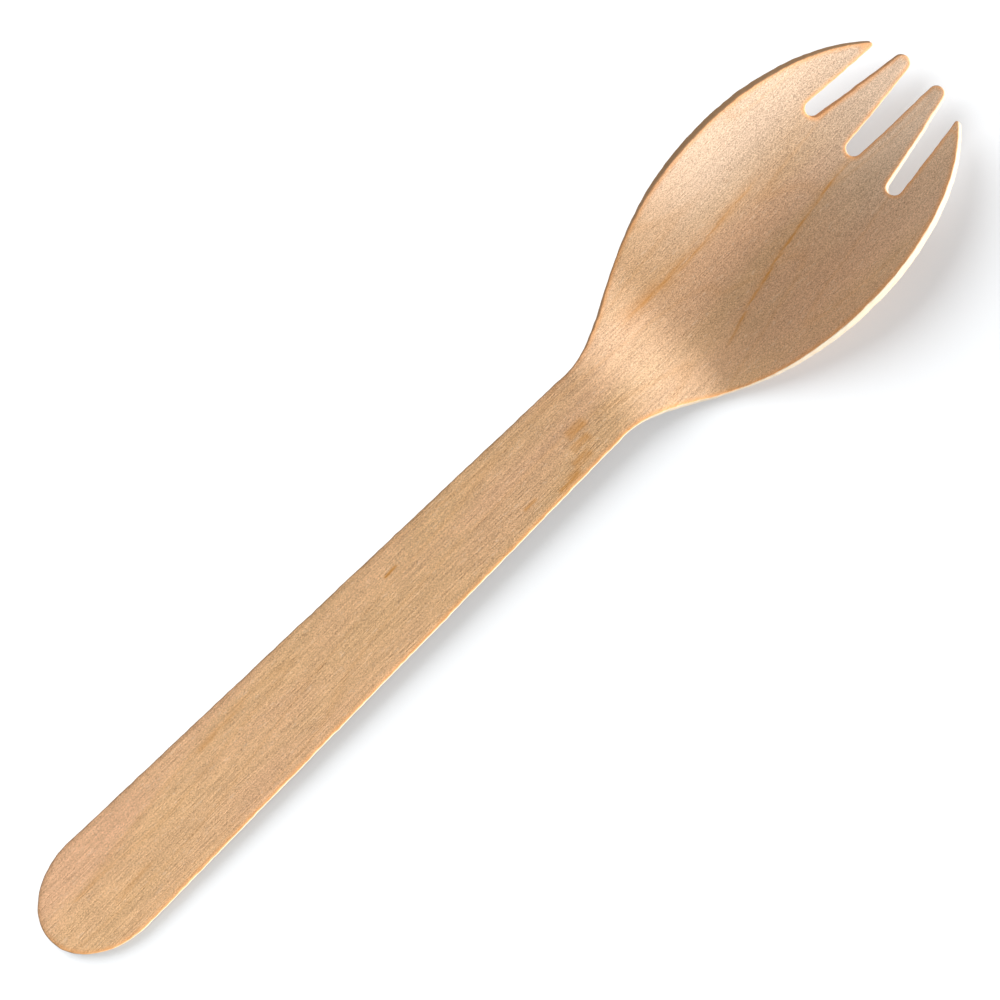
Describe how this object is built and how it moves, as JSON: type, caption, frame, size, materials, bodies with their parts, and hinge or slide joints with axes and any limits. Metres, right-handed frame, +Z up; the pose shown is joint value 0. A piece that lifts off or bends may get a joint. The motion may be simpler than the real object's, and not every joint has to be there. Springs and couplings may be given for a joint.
{
  "type": "wooden spork",
  "caption": "Disposable wooden spork pressed from birch veneer, with a flat tapered handle and a shallow bowl that ends in tines.",
  "frame": {"origin": "on the table, under the middle of the spork's length and width as it lies at rest", "axes": "+X along the spork, from the handle's round end to the tines, +Y across it, +Z up from the table, out of the bowl"},
  "size_m": [0.1602, 0.0326, 0.0097],
  "materials": {
    "birch_veneer": "smooth pressed veneer, uncoated, with fine grain along the handle"
  },
  "bodies": {
    "root": {"spork": "birch_veneer"}
  },
  "joints": []
}
